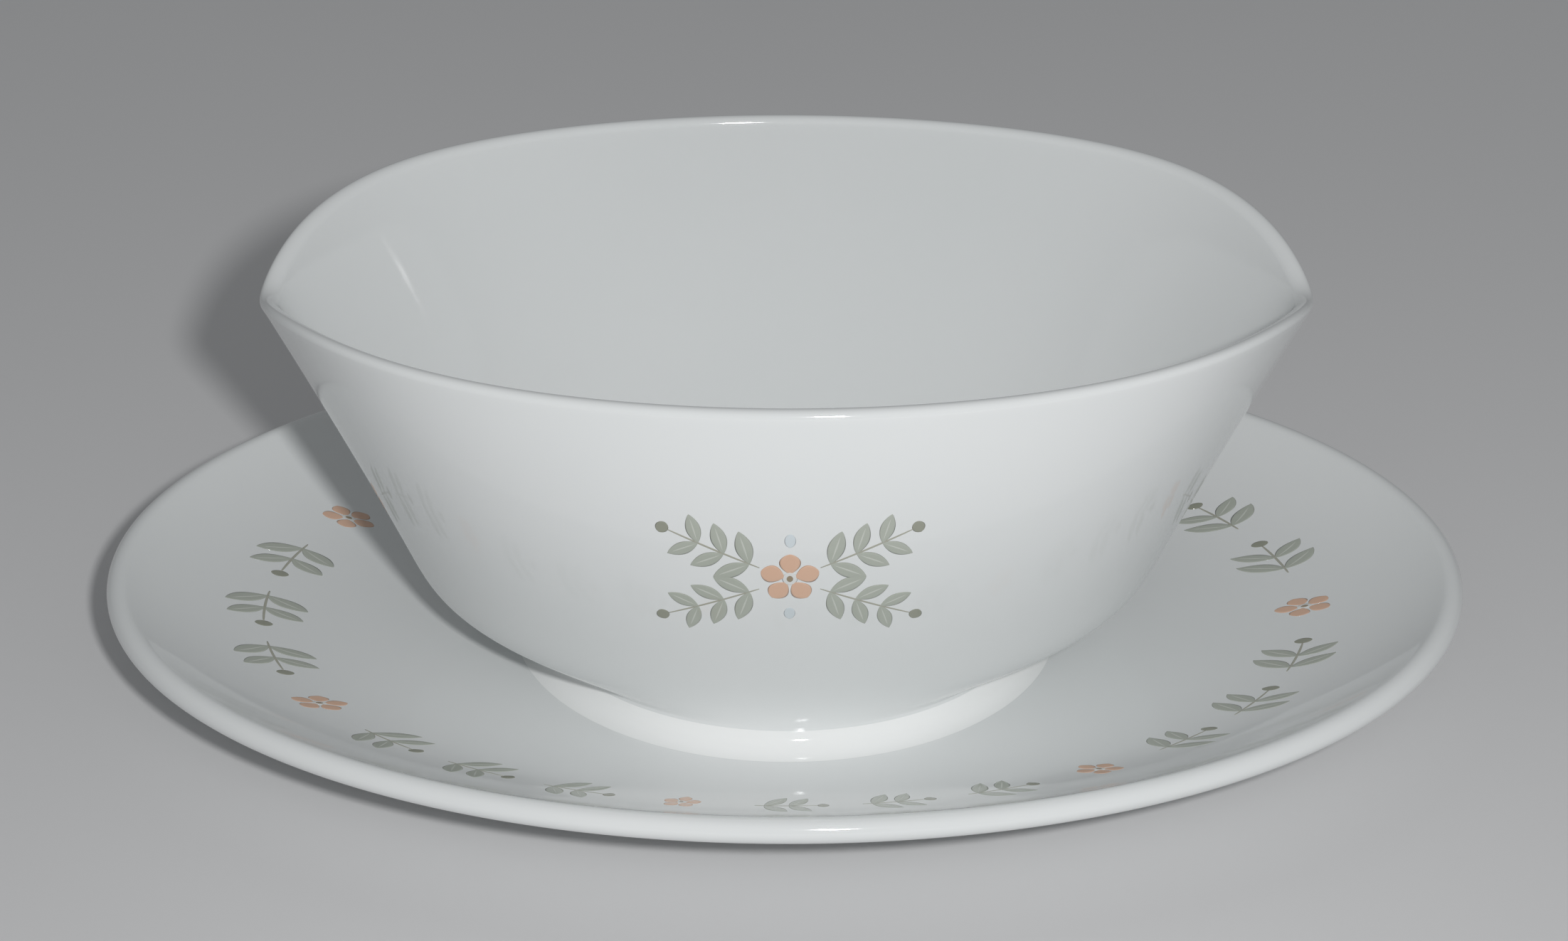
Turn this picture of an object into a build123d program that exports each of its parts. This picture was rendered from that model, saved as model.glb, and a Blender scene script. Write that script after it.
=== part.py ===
"""Gravy boat: a bowl with a pouring spout at each end, luted for good to its oval underplate."""

import os
from math import cos, exp, hypot, radians, sin, tan

from build123d import *

# Underplate, in millimetres. The table is the plane Z = 0 and the long way is X.
PLATE_LENGTH = 232.0
PLATE_WIDTH = 167.0
PLATE_HEIGHT = 18.6
PLATE_FLOOR = 3.5
LIP_THICKNESS = 4.2
LIP_ROUNDING = 1.9
WELL_MARGIN_SIDES = 0.5  # flat left beyond the slip joint on the long sides
WELL_MARGIN_ENDS = 10.8  # and at the two ends
RING_LENGTH = 126.0  # foot ring of the plate, over its outside
RING_WIDTH = 92.0
RING_WALL = 3.6
RING_HEIGHT = 3.0
VENT_DIAMETER = 2.0  # lets hot air out from under the bowl in the kiln

# Bowl.
BOWL_LENGTH = 176.0
BOWL_WIDTH = 115.0
BOWL_HEIGHT = 77.2
SPOUT_DROP = 7.0  # how far the lip falls at each spout
SPOUT_SHARPNESS = 10.5  # the fall is gathered near the tips by this power
SPOUT_PINCH = 0.42  # share of the half width that is taken away at a tip
PINCH_SHARPNESS = 9.0  # gathers the pinch near the tips
BOWL_WALL = 2.8
BOWL_FLOOR = 3.4
NECK_LENGTH = 85.0  # hollow foot under the bowl, over its outside
NECK_WIDTH = 83.0
NECK_HEIGHT = 4.0
NECK_WALL = 4.0
BILGE_SWELL_LENGTH = 16.8  # quick swell of the half length just above the neck
BILGE_RISE_LENGTH = 4.2  # height over which that swell dies away
SWELL_POWER = 1.5  # above 1, so that the swell leaves the neck upright
LENGTH_POWER = 1.15  # the flare of the half length above the swell
WIDTH_START = 1.35  # how slowly the half width starts to flare above the neck
WIDTH_EASE = 2.8  # how early it eases off to the upright rim

# Slip joint: the fillet of liquid clay between the neck and the plate.
SLIP_REACH = 4.7
SLIP_EDGE = 0.25  # thickness left at the two edges of the fillet
SLIP_SLOPE = 80.0  # degrees from level where the fillet leaves the neck

RIM_ROUNDING = 1.2
# Sections of the lofts.
BOWL_STATIONS = 14
SLOPE_STATIONS = 9
LIP_POINTS = 13  # on each half of the falling lip line
OUTLINE_POINTS = 48

well_height = RING_HEIGHT + PLATE_FLOOR
neck_top = well_height + NECK_HEIGHT
spout_height = BOWL_HEIGHT - SPOUT_DROP
well_length = NECK_LENGTH / 2 + SLIP_REACH + WELL_MARGIN_ENDS
well_width = NECK_WIDTH / 2 + SLIP_REACH + WELL_MARGIN_SIDES
slope_run_ends = PLATE_LENGTH / 2 - well_length
slope_run = PLATE_WIDTH / 2 - well_width
os.makedirs("parts", exist_ok=True)


def half_length(z):
    """Half length of the bowl's outside: the neck, a swell that dies away, then a long flare."""
    rise = max(z - neck_top, 0.0)
    flare = BOWL_LENGTH / 2 - NECK_LENGTH / 2 - BILGE_SWELL_LENGTH
    swell = BILGE_SWELL_LENGTH * (1 - exp(-((rise / BILGE_RISE_LENGTH) ** SWELL_POWER)))
    return NECK_LENGTH / 2 + swell + flare * (rise / (spout_height - neck_top)) ** LENGTH_POWER


def half_width(z):
    """Half width of the bowl's outside: upright at the neck, flaring, then upright again at the rim."""
    share = min(max(z - neck_top, 0.0) / (BOWL_HEIGHT - neck_top), 1.0)
    flare = (BOWL_WIDTH - NECK_WIDTH) / 2
    return NECK_WIDTH / 2 + flare * (1 - (1 - share**WIDTH_START) ** WIDTH_EASE)


def pinch(z):
    """Share of the half width taken away at the ends, growing from none at the neck."""
    return SPOUT_PINCH * min(max(z - neck_top, 0.0) / (spout_height - neck_top), 1.0)


def inside(profile, z):
    """Half axis of the hollow at height z: the outside moved in by the wall, square to the clay."""
    step = 0.05
    outer_z = z
    slope = 0.0
    for _ in range(30):
        outer_z = (outer_z + z - BOWL_WALL * slope / hypot(1, slope)) / 2
        slope = (profile(outer_z + step) - profile(outer_z - step)) / (2 * step)
    return profile(outer_z) - BOWL_WALL / hypot(1, slope)


def outline(length, width, squeeze):
    """Closed outline at one height: an ellipse whose two ends are squeezed to a soft point."""
    angles = [radians(360 * i / OUTLINE_POINTS) for i in range(OUTLINE_POINTS)]
    waist = [1 - squeeze * abs(cos(a)) ** PINCH_SHARPNESS for a in angles]
    return [(length * cos(a), width * sin(a) * w) for a, w in zip(angles, waist)]


def station_heights(bottom, top):
    """Heights of the loft's sections, close together where the bowl turns quickly at its foot."""
    return [bottom + (top - bottom) * (i / (BOWL_STATIONS - 1)) ** 2 for i in range(BOWL_STATIONS)]


def fall(x):
    """Drop of the lip below the middle of the rim at distance x from the middle."""
    return SPOUT_DROP * (abs(x) / (BOWL_LENGTH / 2)) ** SPOUT_SHARPNESS


# Bowl: an outer loft less the inner loft, with the lip cut to its falling line, on a hollow neck.
top_station = BOWL_HEIGHT + 2.0
cavity_bottom = neck_top + BOWL_FLOOR
with BuildPart() as boat:
    for z in station_heights(neck_top, top_station):
        with BuildSketch(Plane.XY.offset(z)):
            with BuildLine():
                Spline(*outline(half_length(z), half_width(z), pinch(z)), periodic=True)
            make_face()
    loft()
    for z in station_heights(cavity_bottom, top_station + 1.0):
        with BuildSketch(Plane.XY.offset(z)):
            with BuildLine():
                hollow = outline(inside(half_length, z), inside(half_width, z), pinch(z))
                Spline(*hollow, periodic=True)
            make_face()
    loft(mode=Mode.SUBTRACT)
    with BuildSketch(Plane.XZ):
        with BuildLine():
            reach = BOWL_LENGTH / 2 * 1.04
            xs = [reach * (1 - (1 - i / (LIP_POINTS - 1)) ** 2) for i in range(LIP_POINTS)]
            right = [(x, BOWL_HEIGHT - fall(x)) for x in xs]
            left = [(-x, z) for x, z in reversed(right[1:])]
            lip = Spline(*left, *right)
            outer_x = BOWL_LENGTH  # well beyond the tips
            clear_z = BOWL_HEIGHT * 1.5
            end_z = BOWL_HEIGHT - fall(reach)
            Polyline(lip @ 1, (outer_x, end_z), (outer_x, clear_z))
            Polyline((outer_x, clear_z), (-outer_x, clear_z), (-outer_x, end_z), lip @ 0)
        make_face()
    extrude(amount=BOWL_WIDTH, both=True, mode=Mode.SUBTRACT)
    with BuildSketch(Plane.XY.offset(well_height)):
        with BuildLine():
            Spline(*outline(NECK_LENGTH / 2, NECK_WIDTH / 2, 0), periodic=True)
        make_face()
    extrude(amount=NECK_HEIGHT + BOWL_FLOOR / 2)
    with BuildSketch(Plane.XY.offset(well_height)):
        Ellipse(NECK_LENGTH / 2 - NECK_WALL, NECK_WIDTH / 2 - NECK_WALL)
    extrude(amount=NECK_HEIGHT, mode=Mode.SUBTRACT)
    rim_edges = boat.edges().filter_by(lambda edge: edge.bounding_box().max.Z > BOWL_HEIGHT - 1)
    fillet(rim_edges, radius=RIM_ROUNDING)
boat.part.label = "boat"
export_step(boat.part, "parts/boat.step")

# Slip joint: a ring with a hollow-curved outside, poured round the neck where it meets the plate.
with BuildPart() as slip_joint:
    with BuildLine(Plane.XY.offset(well_height)):
        Spline(*outline(NECK_LENGTH / 2, NECK_WIDTH / 2, 0), periodic=True)
    with BuildSketch(Plane.XZ):
        with BuildLine():
            neck = NECK_LENGTH / 2
            behind = neck - NECK_WALL / 4
            toe = neck + SLIP_REACH
            toe_top = well_height + SLIP_EDGE
            Polyline((neck + SLIP_EDGE, neck_top), (behind, neck_top), (behind, well_height))
            Polyline((behind, well_height), (toe, well_height), (toe, toe_top))
            bend = neck + SLIP_EDGE + (neck_top - toe_top) / tan(radians(SLIP_SLOPE))
            Bezier((toe, toe_top), (bend, toe_top), (neck + SLIP_EDGE, neck_top))
        make_face()
    sweep()
    with BuildSketch(Plane.XY.offset(well_height)):
        with BuildLine():
            Spline(*outline(NECK_LENGTH / 2, NECK_WIDTH / 2, 0), periodic=True)
        make_face()
    extrude(amount=NECK_HEIGHT, mode=Mode.SUBTRACT)
slip_joint.part.label = "slip_joint"
export_step(slip_joint.part, "parts/slip_joint.step")


def dish_axes(inset):
    """Half axes of the plate's outline at an inset from its edge, stretched at the two ends."""
    share = inset / slope_run
    ends = inset + (slope_run_ends - slope_run) * share**2
    return PLATE_LENGTH / 2 - ends, PLATE_WIDTH / 2 - inset


def dish_height(inset):
    """Height of the plate's upper face: flat in the well, then a parabola up to the lip."""
    share = 1 - inset / slope_run
    return well_height + (PLATE_HEIGHT - well_height) * share**2


# Underplate: an outer loft on a foot ring, less the dish, with a rounded lip and a vent.
shares = [i / (SLOPE_STATIONS - 1) for i in range(SLOPE_STATIONS)]
insets = [slope_run * (1 - share) for share in shares]
with BuildPart() as underplate:
    for share, inset in zip(shares, insets):
        clay = PLATE_FLOOR + (LIP_THICKNESS - PLATE_FLOOR) * share
        with BuildSketch(Plane.XY.offset(dish_height(inset) - clay)):
            Ellipse(*dish_axes(inset))
    loft()
    with BuildSketch(Plane.XY.offset(PLATE_HEIGHT - LIP_THICKNESS)):
        Ellipse(*dish_axes(0))
    extrude(amount=LIP_THICKNESS)
    for share, inset in zip(shares, insets):
        lip_inset = LIP_THICKNESS * share
        with BuildSketch(Plane.XY.offset(dish_height(inset))):
            Ellipse(*dish_axes(inset + lip_inset))
    loft(mode=Mode.SUBTRACT)
    lip_bottom = PLATE_HEIGHT - LIP_THICKNESS - 0.1
    lip_edges = underplate.edges().filter_by(lambda edge: edge.center().Z > lip_bottom)
    fillet(lip_edges, radius=LIP_ROUNDING)
    with BuildSketch():
        Ellipse(RING_LENGTH / 2, RING_WIDTH / 2)
        Ellipse(RING_LENGTH / 2 - RING_WALL, RING_WIDTH / 2 - RING_WALL, mode=Mode.SUBTRACT)
    extrude(amount=RING_HEIGHT + PLATE_FLOOR / 2)
    with Locations((0, 0, well_height)):
        Hole(VENT_DIAMETER / 2, depth=PLATE_FLOOR)
underplate.part.label = "underplate"
export_step(underplate.part, "parts/underplate.step")
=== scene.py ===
from math import radians

import bpy
import numpy as np
from mathutils import Matrix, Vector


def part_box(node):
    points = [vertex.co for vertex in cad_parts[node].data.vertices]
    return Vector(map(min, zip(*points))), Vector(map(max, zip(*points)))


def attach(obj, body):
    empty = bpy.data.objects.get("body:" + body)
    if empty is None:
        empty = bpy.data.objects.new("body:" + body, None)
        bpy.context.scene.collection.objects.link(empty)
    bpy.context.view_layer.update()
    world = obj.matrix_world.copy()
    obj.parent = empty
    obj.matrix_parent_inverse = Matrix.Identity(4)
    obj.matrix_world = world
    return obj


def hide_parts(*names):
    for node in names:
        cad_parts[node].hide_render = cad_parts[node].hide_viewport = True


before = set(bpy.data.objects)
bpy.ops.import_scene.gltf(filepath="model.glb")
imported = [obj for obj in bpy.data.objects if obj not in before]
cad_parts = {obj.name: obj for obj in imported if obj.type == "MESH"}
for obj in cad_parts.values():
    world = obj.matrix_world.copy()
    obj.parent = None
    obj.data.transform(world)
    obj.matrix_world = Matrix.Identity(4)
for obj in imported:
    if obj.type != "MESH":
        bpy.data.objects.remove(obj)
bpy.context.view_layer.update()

mm = 0.001

# Viewpoint: a person sitting at the table looks down on the long side of the boat, a little to its
# left. A long lens from an arm's length keeps the two spouts nearly level.
eye = (-8.4 * mm, -658.5 * mm, 391.7 * mm)
look_down, look_right, head_tilt = radians(28.36), radians(0.70), radians(0.30)
camera_data = bpy.data.cameras.new("viewpoint")
camera_data.sensor_width = 36.0
camera_data.lens = 101.25
camera_data.clip_start, camera_data.clip_end = 0.01, 20.0
camera = bpy.data.objects.new("viewpoint", camera_data)
camera.matrix_world = (
    Matrix.Translation(eye)
    @ Matrix.Rotation(-look_right, 4, "Z")
    @ Matrix.Rotation(radians(90) - look_down, 4, "X")
    @ Matrix.Rotation(head_tilt, 4, "Z")
)
bpy.context.scene.collection.objects.link(camera)
bpy.context.scene.camera = camera
bpy.context.scene.view_settings.view_transform = "Standard"

# Table: one wide sheet of pale grey paper that lies flat under the boat.
paper_reach = 4.0
sheet_points = paper_reach * np.array([(-1, -1, 0), (1, -1, 0), (1, 1, 0), (-1, 1, 0)])
sheet_mesh = bpy.data.meshes.new("table_paper")
sheet_mesh.from_pydata(sheet_points.tolist(), [], [(0, 1, 2, 3)])
table_paper = bpy.data.objects.new("table_paper", sheet_mesh)
bpy.context.scene.collection.objects.link(table_paper)
paper = bpy.data.materials.new("pale_grey_paper")
paper.use_nodes = True
paper.node_tree.nodes["Principled BSDF"].inputs["Base Color"].default_value = (0.74, 0.74, 0.745, 1)
paper.node_tree.nodes["Principled BSDF"].inputs["Roughness"].default_value = 0.75
sheet_mesh.materials.append(paper)

# Light: a small lamp just right of and above the eye, which throws the shadows back to the left,
# and an even pale room around it.
lamp_data = bpy.data.lights.new("hand_lamp", "AREA")
lamp_data.shape = "DISK"
lamp_data.size = 45 * mm
lamp_data.energy = 3.3
lamp = bpy.data.objects.new("hand_lamp", lamp_data)
lamp.matrix_world = Matrix.Translation((72 * mm, -665 * mm, 440 * mm)) @ Matrix.Rotation(radians(58), 4, "X")
bpy.context.scene.collection.objects.link(lamp)
room = bpy.data.worlds.new("pale_room")
room.use_nodes = True
room.node_tree.nodes["Background"].inputs["Color"].default_value = (0.96, 0.98, 1.0, 1)
room.node_tree.nodes["Background"].inputs["Strength"].default_value = 0.22
bpy.context.scene.world = room

# Bowl: slip-cast white porcelain with a spout pulled at each end and a low hollow neck under it,
# one shell a little under three millimetres thick, with a round lip, fired in a clear gloss glaze.
bowl_low, bowl_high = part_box("boat")
neck_foot = bowl_low[2]
neck_top = neck_foot + 4.0 * mm
floor_clay = 3.4 * mm
rim_top = bowl_high[2]
tip_reach = 88.0 * mm
side_reach = 57.5 * mm
neck_half = (42.5 * mm, 41.5 * mm)
spout_drop = 7.0 * mm
spout_sharpness = 10.5
spout_pinch = 0.42
pinch_sharpness = 9
swell_reach = 16.8 * mm
swell_rise = 4.2 * mm
wall = 2.8 * mm


def half_axes(z):
    """Half length and half width of the bowl's outside at height z: upright at the neck, then a quick
    swell and a long flare towards the spouts, and at the sides a flare that eases off to the rim."""
    rise = np.maximum(z - neck_top, 0)
    swell = swell_reach * (1 - np.exp(-((rise / swell_rise) ** 1.5)))
    to_tip = rise / (rim_top - spout_drop - neck_top)
    to_rim = np.minimum(rise / (rim_top - neck_top), 1)
    x = neck_half[0] + swell + (tip_reach - neck_half[0] - swell_reach) * to_tip**1.15
    y = neck_half[1] + (side_reach - neck_half[1]) * (1 - (1 - to_rim**1.35) ** 2.8)
    return x, y


def oval(x_half, y_half, z, angle):
    """Points on the bowl's outline at height z: an ellipse whose ends are pinched to a soft point,
    more so the higher it is."""
    pinch = spout_pinch * np.clip((z - neck_top) / (rim_top - spout_drop - neck_top), 0, 1)
    x = x_half * np.cos(angle)
    y = y_half * np.sin(angle) * (1 - pinch * np.abs(np.cos(angle)) ** pinch_sharpness)
    return np.stack(np.broadcast_arrays(x, y, z), axis=-1)


def bowl_outside(share, angle):
    """Outer face: share 0 is the top of the neck and 1 the lip's outer edge, which falls at the tips."""
    lip = rim_top - wall / 2 - spout_drop * np.abs(np.cos(angle)) ** spout_sharpness
    z = neck_top + share * (lip - neck_top)
    x_half, y_half = half_axes(z)
    return oval(x_half, y_half, z, angle)


def bowl_inside(share, angle):
    """Inner face: the outside moved in by the wall, closed below by a rounded, nearly flat floor."""
    floor = neck_top + floor_clay
    lip = rim_top - wall / 2 - spout_drop * np.abs(np.cos(angle)) ** spout_sharpness
    z = floor + share**2.5 * (lip - floor)
    x_half, y_half = half_axes(z)
    up = np.clip((z - floor) / (9.0 * mm), 0, 1)
    closing = (1 - (1 - up) ** 3) ** 0.45
    return oval((x_half - 1.08 * wall) * closing, (y_half - wall) * closing, z, angle)


def closed_rings(name, rings, poles=None):
    """A closed surface through rings of points, (rings, points around, xyz). Two poles close its ends
    with fans of triangles; without them the last ring joins the first."""
    count, around = rings.shape[:2]
    column = np.arange(around)
    following = (column + 1) % around
    first = np.arange(count if poles is None else count - 1)[:, None] * around
    second = (first + around) % (count * around)
    corners = (first + column, first + following, second + following, second + column)
    faces = np.stack(corners, axis=-1).reshape(-1, 4).tolist()
    points = rings.reshape(-1, 3)
    if poles is not None:
        end = (count - 1) * around
        start_pole = np.full(around, count * around)
        faces += np.stack((start_pole, following, column), axis=-1).tolist()
        faces += np.stack((start_pole + 1, end + column, end + following), axis=-1).tolist()
        points = np.concatenate([points, np.array(poles)])
    mesh = bpy.data.meshes.new(name)
    mesh.from_pydata(points.tolist(), [], faces)
    mesh.shade_smooth()
    piece = bpy.data.objects.new(name, mesh)
    bpy.context.scene.collection.objects.link(piece)
    return piece


around = np.linspace(0, 2 * np.pi, 420, endpoint=False)
outside = bowl_outside(np.linspace(0, 1, 90)[:, None] ** 1.7, around)
inside = bowl_inside(np.linspace(1, 0.02, 90)[:, None], around)
# Lip: half a turn from the outer edge over to the inner one, leaving each face along its own slope.
middle, half = (outside[-1] + inside[0]) / 2, (outside[-1] - inside[0]) / 2
climb = (outside[-1] - outside[-2]) / np.linalg.norm(outside[-1] - outside[-2], axis=-1)[:, None]
turn = np.linspace(0, np.pi, 15)[1:-1, None, None]
lip = middle + np.cos(turn) * half + np.sin(turn) * climb * np.linalg.norm(half, axis=-1)[:, None]
# Hollow neck: up its inner wall, round its foot and up its outer wall to the bowl.
neck_inset = np.array([34, 20, 4.6, 4.0, 4.0, 3.7, 0.3, 0.0, 0.0]) * mm
neck_height = neck_foot + np.array([4.0, 4.0, 4.0, 3.6, 0.3, 0.0, 0.0, 0.3, 2.5]) * mm
neck = oval(neck_half[0] - neck_inset[:, None], neck_half[1] - neck_inset[:, None],
            neck_height[:, None], around)
rings = np.concatenate([neck, outside, lip, inside])
floor_middle = (0, 0, inside[-1, 0, 2])
boat = closed_rings("bowl_shell", rings, poles=((0, 0, neck_top), floor_middle))


def glaze_tone():
    """Node group: what the kiln leaves in a clear glaze. Tone drifts a little where the glaze lies
    thicker, the gloss is a touch uneven, and the face has long faint ripples and fine pitting."""
    group = bpy.data.node_groups.new("glaze_tone", "ShaderNodeTree")
    face = group.interface
    face.new_socket("White", in_out="INPUT", socket_type="NodeSocketColor")
    face.new_socket("Thick White", in_out="INPUT", socket_type="NodeSocketColor")
    face.new_socket("Gloss", in_out="INPUT", socket_type="NodeSocketFloat")
    face.new_socket("Color", in_out="OUTPUT", socket_type="NodeSocketColor")
    face.new_socket("Roughness", in_out="OUTPUT", socket_type="NodeSocketFloat")
    face.new_socket("Height", in_out="OUTPUT", socket_type="NodeSocketFloat")
    nodes, links = group.nodes, group.links
    given = nodes.new("NodeGroupInput")
    result = nodes.new("NodeGroupOutput")
    place = nodes.new("ShaderNodeTexCoord")
    clouds, ripples, pits = (nodes.new("ShaderNodeTexNoise") for _ in range(3))
    for noise, scale, detail in ((clouds, 22.0, 3.0), (ripples, 90.0, 1.0), (pits, 1400.0, 2.0)):
        noise.inputs["Scale"].default_value = scale
        noise.inputs["Detail"].default_value = detail
        links.new(place.outputs["Object"], noise.inputs["Vector"])
    tone = nodes.new("ShaderNodeMix")
    tone.data_type = "RGBA"
    links.new(clouds.outputs["Fac"], tone.inputs[0])
    links.new(given.outputs["White"], tone.inputs[6])
    links.new(given.outputs["Thick White"], tone.inputs[7])
    links.new(tone.outputs[2], result.inputs["Color"])
    gloss = nodes.new("ShaderNodeMath")
    gloss.operation = "MULTIPLY_ADD"
    gloss.inputs[1].default_value = 0.05
    links.new(pits.outputs["Fac"], gloss.inputs[0])
    links.new(given.outputs["Gloss"], gloss.inputs[2])
    links.new(gloss.outputs[0], result.inputs["Roughness"])
    relief = nodes.new("ShaderNodeMath")
    relief.operation = "MULTIPLY_ADD"
    relief.inputs[1].default_value = 0.04
    links.new(pits.outputs["Fac"], relief.inputs[0])
    links.new(ripples.outputs["Fac"], relief.inputs[2])
    links.new(relief.outputs[0], result.inputs["Height"])
    return group


def glazed(name, white, thick_white, gloss, ripple):
    """Clear-glazed porcelain: the white body under a glassy, slightly uneven face."""
    material = bpy.data.materials.new(name)
    material.use_nodes = True
    nodes, links = material.node_tree.nodes, material.node_tree.links
    shader = nodes["Principled BSDF"]
    shader.inputs["IOR"].default_value = 1.52
    tone = nodes.new("ShaderNodeGroup")
    tone.node_tree = glaze_group
    tone.inputs["White"].default_value = (*white, 1)
    tone.inputs["Thick White"].default_value = (*thick_white, 1)
    tone.inputs["Gloss"].default_value = gloss
    bump = nodes.new("ShaderNodeBump")
    bump.inputs["Strength"].default_value = ripple
    bump.inputs["Distance"].default_value = 0.02 * mm
    links.new(tone.outputs["Color"], shader.inputs["Base Color"])
    links.new(tone.outputs["Roughness"], shader.inputs["Roughness"])
    links.new(tone.outputs["Height"], bump.inputs["Height"])
    links.new(bump.outputs["Normal"], shader.inputs["Normal"])
    return material


glaze_group = glaze_tone()
clear_white, thick_white = (0.80, 0.815, 0.815), (0.76, 0.785, 0.785)
bowl_glaze = glazed("bowl_glaze", clear_white, thick_white, gloss=0.03, ripple=0.5)
boat.data.materials.append(bowl_glaze)
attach(boat, "root")
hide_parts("boat")

# Slip joint: the fillet of liquid clay run round the neck to stick it to the plate and wiped to a
# hollow curve, so that bowl and plate look like one piece under the glaze.
slip_low, slip_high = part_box("slip_joint")
slip_reach = slip_high[0] - neck_half[0]
across = np.linspace(0, 1, 28)[:, None]
# The upper face is a hollow quarter curve that leaves the neck upright and meets the plate level.
slip_out = (slip_reach + 0.1 * mm) * (1 - np.cos(across * np.pi / 2)) - 0.1 * mm
slip_up = slip_low[2] - 0.05 * mm + (slip_high[2] - slip_low[2] + 0.4 * mm) * (1 - np.sin(across * np.pi / 2))
under_out = np.array([[0.66], [0.33], [-0.02]]) * slip_reach
under_up = np.full((3, 1), slip_low[2] - 0.3 * mm)
profile_out = np.concatenate([slip_out, under_out])
profile_up = np.concatenate([slip_up, under_up])
rings = oval(neck_half[0] + profile_out, neck_half[1] + profile_out, profile_up, around)
slip_fillet = closed_rings("slip_fillet", rings[::-1])
# Painted highlight: the slip gets a lighter white than the bowl and the plate. It stands in for the bright
# band where the hollow fillet faces the lamp; the clay itself is the same white as the rest.
painted_highlight_slip_white, painted_highlight_thick_slip = (0.90, 0.91, 0.905), (0.87, 0.885, 0.88)
slip_fillet.data.materials.append(glazed("joint_glaze", painted_highlight_slip_white, painted_highlight_thick_slip, gloss=0.03, ripple=0.6))
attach(slip_fillet, "root")
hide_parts("slip_joint")

# Underplate: an oval coupe dish jiggered on a mould, flat in the middle and rising in one hollow
# sweep to a rolled lip. It stands on an oval foot ring, whose edge is wiped clean of glaze so that
# it doesn't stick to the kiln shelf, and a pinhole under the bowl lets the air out in the kiln.
plate_low, plate_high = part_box("underplate")
plate_half = plate_high[:2]
well_half = np.array([58.0, 46.7]) * mm
lip_radius = 2.1 * mm
plate_floor = 3.5 * mm
ring_half = np.array([63.0, 46.0]) * mm
ring_wall = 3.6 * mm
vent = 1.0 * mm
side_run, end_run = plate_half[1] - well_half[1], plate_half[0] - well_half[0]
well_middle = neck_foot - plate_floor / 2
lip_middle = plate_high[2] - lip_radius


def dish_oval(inset, z):
    """Ring of the dish at an inset from its edge; the sloping border is wider at the two ends."""
    x_half = plate_half[0] - inset - (end_run - side_run) * (inset / side_run) ** 2
    y_half = plate_half[1] - inset
    ring = np.broadcast_arrays(x_half * np.cos(around), y_half * np.sin(around), z)
    return np.stack(ring, axis=-1)


def plain_oval(half, z):
    """Ring with given half axes at height z."""
    ring = np.broadcast_arrays(half[..., :1] * np.cos(around), half[..., 1:] * np.sin(around), z)
    return np.stack(ring, axis=-1)


def border(share, side):
    """Inset and height on the upper (side 1) or under (side -1) face of the border. Its middle is a
    parabola from the well, share 0, to the lip, share 1, and the faces lie square to it."""
    run, climb = side_run - lip_radius, lip_middle - well_middle
    slope = np.arctan2(2 * climb * share, run)
    clay = side * (plate_floor / 2 + (lip_radius - plate_floor / 2) * share)
    inset = side_run - run * share + clay * np.sin(slope)
    return inset, well_middle + climb * share**2 + clay * np.cos(slope), slope


inset_up, height_up, slopes = border(np.linspace(0, 1, 60)[1:, None], 1)
inset_down, height_down, _ = border(np.linspace(1, 0.09, 50)[:, None], -1)
roll = np.linspace(0, np.pi, 18)[1:-1, None] - slopes[-1]
inset_lip = lip_radius - lip_radius * np.sin(roll)
height_lip = lip_middle + lip_radius * np.cos(roll)
well_share = np.linspace(0, 1, 24)[:, None]
well_axes = vent + (well_half - vent) * well_share
foot = np.linspace(0, np.pi, 30)[:, None]
foot_in = ring_wall / 2 * (1 - np.sign(np.cos(foot)) * np.abs(np.cos(foot)) ** 0.45)
foot_up = (neck_foot - plate_floor) * (1 - np.sin(foot) ** 0.5)
back_axes = vent + (ring_half - ring_wall - 1.0 * mm - vent) * np.linspace(1, 0, 16)[:, None]
rings = np.concatenate([
    plain_oval(well_axes, neck_foot),
    dish_oval(inset_up, height_up),
    dish_oval(inset_lip, height_lip),
    dish_oval(inset_down, height_down),
    plain_oval(ring_half - foot_in, foot_up),
    plain_oval(back_axes, neck_foot - plate_floor),
])
underplate = closed_rings("underplate_dish", rings[::-1])
plate_glaze = glazed("plate_glaze", clear_white, thick_white, gloss=0.03, ripple=0.5)
# Bare, matt, slightly warm clay on the lowest half millimetre, where the glaze was wiped off.
nodes, links = plate_glaze.node_tree.nodes, plate_glaze.node_tree.links
place, split, wiped = (nodes.new(f"ShaderNode{kind}") for kind in ("TexCoord", "SeparateXYZ", "MapRange"))
wiped.inputs["From Min"].default_value, wiped.inputs["From Max"].default_value = 0.45 * mm, 0.6 * mm
wiped.inputs["To Min"].default_value, wiped.inputs["To Max"].default_value = 1.0, 0.0
links.new(place.outputs["Object"], split.inputs["Vector"])
links.new(split.outputs["Z"], wiped.inputs["Value"])
bare_tone, bare_gloss = nodes.new("ShaderNodeMix"), nodes.new("ShaderNodeMix")
bare_tone.data_type = "RGBA"
bare_tone.inputs[7].default_value = (0.70, 0.66, 0.60, 1)
bare_gloss.inputs[3].default_value = 0.72
shader = nodes["Principled BSDF"]
for mix, (into, start, end) in ((bare_tone, ("Base Color", 6, 2)), (bare_gloss, ("Roughness", 2, 0))):
    links.new(wiped.outputs["Result"], mix.inputs[0])
    links.new(shader.inputs[into].links[0].from_socket, mix.inputs[start])
    links.new(mix.outputs[end], shader.inputs[into])
underplate.data.materials.append(plate_glaze)
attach(underplate, "root")
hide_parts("underplate")

# Printed sprays: silk-screened ceramic colours on a slide-off transfer, laid on the middle of each
# long side of the bowl and fired into the glaze: a plain five-petalled flower with leafy twigs.
film = 0.03 * mm


def mark(ink, points, width, lean=1.0, blunt=0.8, layer=0):
    """One brush mark, in millimetres: a line of a few points, its full width, where along it is
    widest (lean above 1 is towards its end), how blunt its ends are, and the coat it lies in."""
    return ink, np.array(points, float), width, lean, blunt, layer


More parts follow.
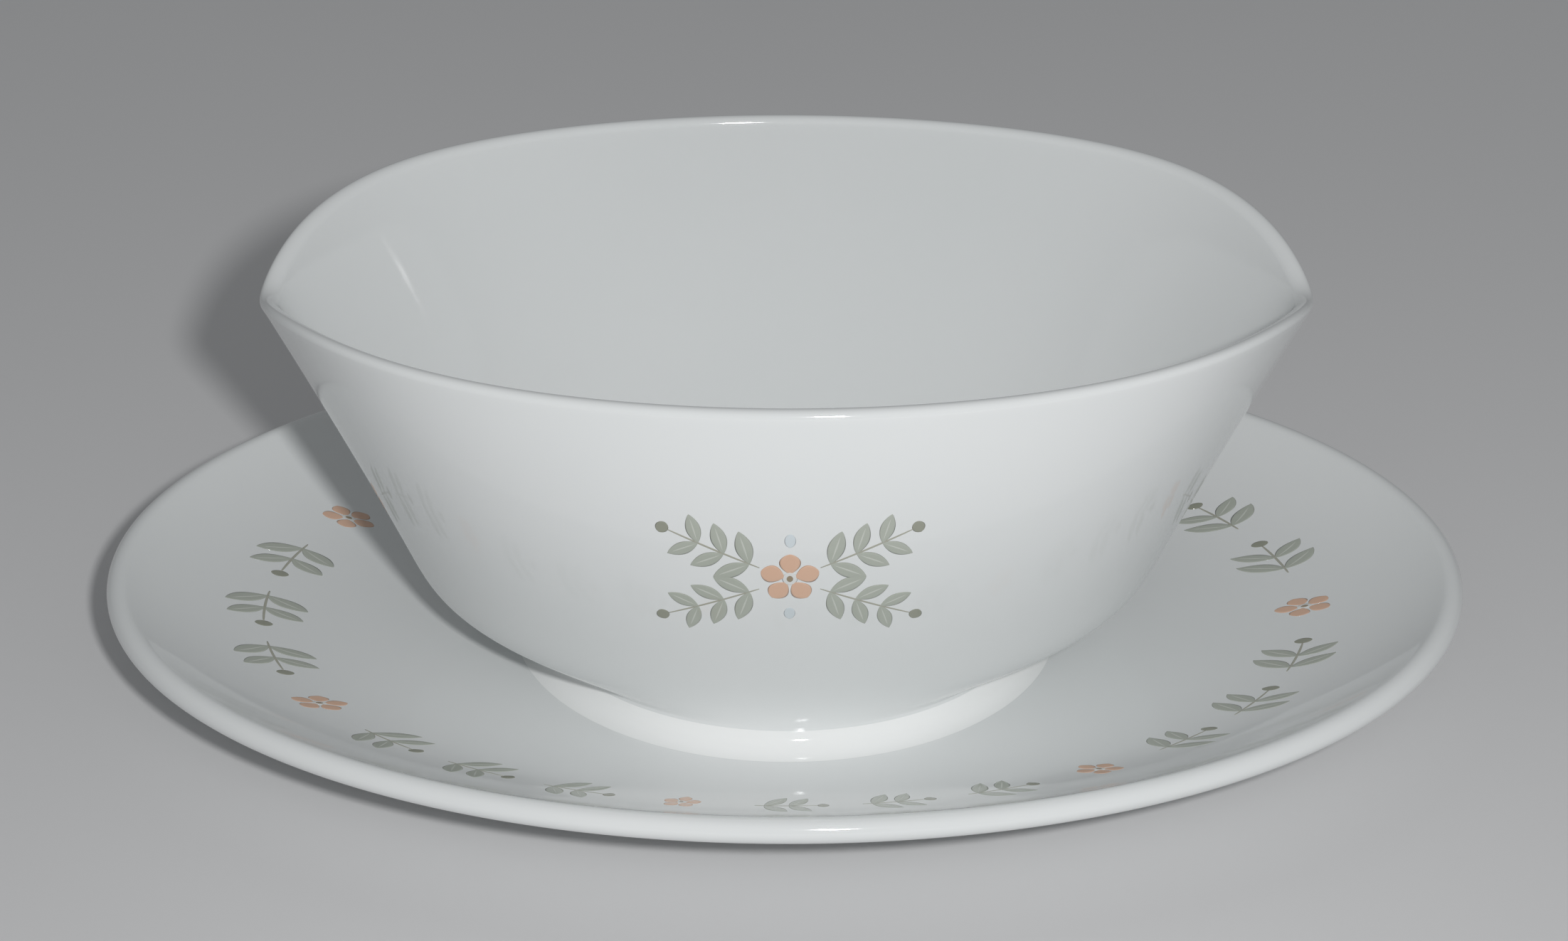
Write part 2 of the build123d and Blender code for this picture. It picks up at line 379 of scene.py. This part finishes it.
def set_marks(marks, at=(0, 0), turn=0.0, size=1.0):
    """The same marks scaled, turned by degrees and moved to a place."""
    cos, sin = np.cos(radians(turn)), np.sin(radians(turn))
    rotate = size * np.array([[cos, sin], [-sin, cos]])
    return [(ink, points @ rotate + at, width * size, *rest) for ink, points, width, *rest in marks]


def dot(ink, at, width, height=None, layer=0):
    """A round or oval spot."""
    half = (height or width) / 2
    return mark(ink, [(at[0], at[1] - half), at, (at[0], at[1] + half)], width, blunt=0.5, layer=layer)


def leaf(length, width):
    """A plain pointed leaf standing on its stalk, with a pale midrib."""
    body = mark("sage", [(0, 0), (0, length / 2), (0, length)], width)
    midrib = mark("pale_sage", [(0, 0.1 * length), (0, length / 2), (0, 0.85 * length)], 0.35, layer=1)
    return [body, midrib]


def flower():
    """Five round petals at even turns about an eye."""
    petal = [mark("orange", [(0, 1.0), (0, 3.0), (0, 5.0)], 3.6, 1.2, 0.6)]
    petals = sum([set_marks(petal, turn=72 * i) for i in range(5)], [])
    return petals + [dot("cream", (0, 0), 2.6, layer=1), dot("brown", (0, 0), 1.3, layer=2)]


def line(*points):
    """A thin stalk."""
    return mark("olive_line", points, 0.35, blunt=0.2)


def twig(pairs):
    """A straight twig along +X with pairs of leaves at even steps, each pair a little smaller than
    the one before, and a berry at its tip."""
    step = 4.6
    tip = step * (pairs + 0.6)
    marks = [line((0, 0), (tip / 2, 0), (tip, 0)), dot("olive", (tip + 0.9, 0), 2.2)]
    for i in range(pairs):
        for lean in (-40, -140):
            marks += set_marks(leaf(6.6, 2.9), at=(step * (i + 0.4), 0), turn=lean, size=0.92**i)
    return marks


twig_start = 5.4
bud_reach = 7.6
spray = flower()
for twig_turn in (24, 156, 204, 336):
    reach = (twig_start * np.cos(radians(twig_turn)), twig_start * np.sin(radians(twig_turn)))
    spray += set_marks(twig(3), at=reach, turn=twig_turn)
for bud_turn in (90, 270):
    bud_at = (bud_reach * np.cos(radians(bud_turn)), bud_reach * np.sin(radians(bud_turn)))
    spray += [dot("blue", bud_at, 1.9, 2.6)]


def print_rings(marks):
    """Each mark as a thin flattened tube in print millimetres: (marks, steps, points around, 3). Its
    line is a Catmull-Rom curve, its half width a power of a sine, and its section a blunt oval."""
    steps = np.linspace(0.004, 0.996, 26)
    turn = np.linspace(0, 2 * np.pi, 10, endpoint=False)
    flat = np.sign(np.sin(turn)) * np.abs(np.sin(turn)) ** 0.4
    tubes = []
    for _, points, width, lean, blunt, layer in marks:
        before, after = 2 * points[0] - points[1], 2 * points[-1] - points[-2]
        guide = np.concatenate([[before], points, [after]])
        u = steps * (len(points) - 1)
        k = np.minimum(u.astype(int), len(points) - 2)
        t = (u - k)[:, None]
        a, b, c, d = guide[k], guide[k + 1], guide[k + 2], guide[k + 3]
        path = (2 * b + (c - a) * t + (2 * a - 5 * b + 4 * c - d) * t**2 + (3 * b - a - 3 * c + d) * t**3) / 2
        along = np.gradient(path, axis=0)
        aside = np.stack([-along[:, 1], along[:, 0]], axis=-1) / np.linalg.norm(along, axis=-1)[:, None]
        half = width / 2 * np.sin(np.pi * steps**lean) ** blunt
        spread = path[:, None] + aside[:, None] * (half[:, None] * np.cos(turn))[..., None]
        lift = np.broadcast_to((1 + 0.4 * layer) * flat, spread.shape[:2])
        tubes.append(np.concatenate([spread, lift[..., None]], axis=-1))
    return np.array(tubes)


def print_piece(name, marks, place, glaze):
    """One ink of a print as one closed film: place() lays print millimetres and lift on the ware."""
    tubes = print_rings(marks)
    count, steps, ring = tubes.shape[:3]
    caps = tubes[:, [0, -1]].mean(axis=2)
    flat_points = np.concatenate([tubes.reshape(count, -1, 3), caps], axis=1)
    spots = place(flat_points[..., 0], flat_points[..., 1], flat_points[..., 2] * film)
    column = np.arange(ring)
    following = (column + 1) % ring
    first = np.arange(steps - 1)[:, None] * ring
    quads = np.stack(np.broadcast_arrays(first + column, first + following,
                                         first + ring + following, first + ring + column), axis=-1)
    start, end = steps * ring, steps * ring + 1
    fan_start = np.stack([np.full(ring, start), following, column], axis=-1)
    last = (steps - 1) * ring
    fan_end = np.stack([np.full(ring, end), last + column, last + following], axis=-1)
    offset = (np.arange(count) * (steps * ring + 2))[:, None, None]
    faces = (quads.reshape(1, -1, 4) + offset).reshape(-1, 4).tolist()
    faces += (np.concatenate([fan_start, fan_end])[None] + offset).reshape(-1, 3).tolist()
    mesh = bpy.data.meshes.new(name)
    mesh.from_pydata(spots.reshape(-1, 3).tolist(), [], faces)
    mesh.shade_smooth()
    mesh.materials.append(glaze)
    piece = bpy.data.objects.new(name, mesh)
    bpy.context.scene.collection.objects.link(piece)
    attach(piece, "root")
    return piece


def lifted(surface, a, b, lift):
    """A point of a surface and its lift along the normal, which is the cross product of two steps."""
    step = 0.05
    here = surface(a, b)
    normal = np.cross(surface(a + step, b) - here, surface(a, b + step) - here)
    return here + lift[..., None] * normal / np.linalg.norm(normal, axis=-1)[..., None]


# The print's height runs up the bowl's middle line, from the curve's own length.
climb_z = np.linspace(neck_top, rim_top - 2 * mm, 400)
climb_y = half_axes(climb_z)[1]
climb_length = np.concatenate([[0], np.cumsum(np.hypot(np.diff(climb_z), np.diff(climb_y)))]) / mm
spray_middle = 46.0 * mm
spray_height = np.interp(spray_middle, climb_z, climb_length)
stretch_up, stretch_across = 1.05, 0.965


def front_of_bowl(across, up):
    """Point on the long side towards -Y: across is distance along X, up is length up the wall. The
    transfer is stretched a little upwards as it is smoothed down."""
    z = np.interp(stretch_up * up + spray_height, climb_length, climb_z)
    x_half, y_half = half_axes(z)
    return oval(x_half, y_half, z, -np.arccos(stretch_across * across * mm / x_half))


def back_of_bowl(across, up):
    """The same place on the other long side, half a turn round."""
    return front_of_bowl(across, up) * np.array([-1, -1, 1])


inks = {
    "olive": (0.275, 0.285, 0.220),
    "olive_line": (0.37, 0.37, 0.30),
    "sage": (0.41, 0.44, 0.38),
    "pale_sage": (0.55, 0.575, 0.52),
    "cream": (0.74, 0.745, 0.725),
    "orange": (0.71, 0.445, 0.305),
    "blue": (0.645, 0.71, 0.745),
    "brown": (0.29, 0.22, 0.13),
}
ink_glaze = {}
for ink, tone in inks.items():
    paler = tuple(0.85 * part + 0.15 * white for part, white in zip(tone, clear_white))
    ink_glaze[ink] = glazed(f"{ink}_print", tone, paler, gloss=0.04, ripple=0.5)
for place_name, place in (("front", front_of_bowl), ("back", back_of_bowl)):
    for ink in inks:
        marks = [one for one in spray if one[0] == ink]
        print_piece(f"{place_name}_spray_{ink}", marks,
                    lambda a, b, lift, place=place: lifted(place, a, b, lift), ink_glaze[ink])

# Garland: the same transfer colours round the plate's sloping border: short leafy twigs end to end
# at one even spacing, with a small flower in every fourth place.
garland_inset = 20.0 * mm
inset_table, height_table = inset_up[::-1, 0], height_up[::-1, 0]


def on_border(along, inward):
    """Point on the dish's upper face from an angle round the rim, in radians, and distance in from the
    garland's middle line."""
    inset = garland_inset + inward * mm
    x = plate_half[0] - inset - (end_run - side_run) * (inset / side_run) ** 2
    y = plate_half[1] - inset
    z = np.interp(inset, inset_table, height_table)
    return np.stack([x * np.cos(along), y * np.sin(along), z], axis=-1)


# Length round the garland's middle line, to turn print millimetres into an angle.
rim_angle = np.linspace(-np.pi, 2 * np.pi, 3001)
rim_line = on_border(rim_angle, 0 * rim_angle)
rim_length = np.concatenate([[0], np.cumsum(np.linalg.norm(np.diff(rim_line, axis=0), axis=-1))]) / mm


def border_print(along, inward):
    """The border in print millimetres: length round the garland and distance inwards."""
    return on_border(np.interp(along, rim_length, rim_angle), inward)


garland_places = 28
garland_start, garland_end = np.interp((0, 2 * np.pi), rim_angle, rim_length)
garland_step = (garland_end - garland_start) / garland_places
garland = []
for i in range(garland_places):
    motif = set_marks(flower(), size=0.62) if i % 4 == 0 else set_marks(twig(2), at=(-5.6, 0), size=0.86)
    garland += set_marks(motif, at=(garland_start + garland_step * i, 0))
for ink in inks:
    marks = [one for one in garland if one[0] == ink]
    if marks:
        print_piece(f"garland_{ink}", marks,
                    lambda a, b, lift: lifted(border_print, a, b, lift), ink_glaze[ink])
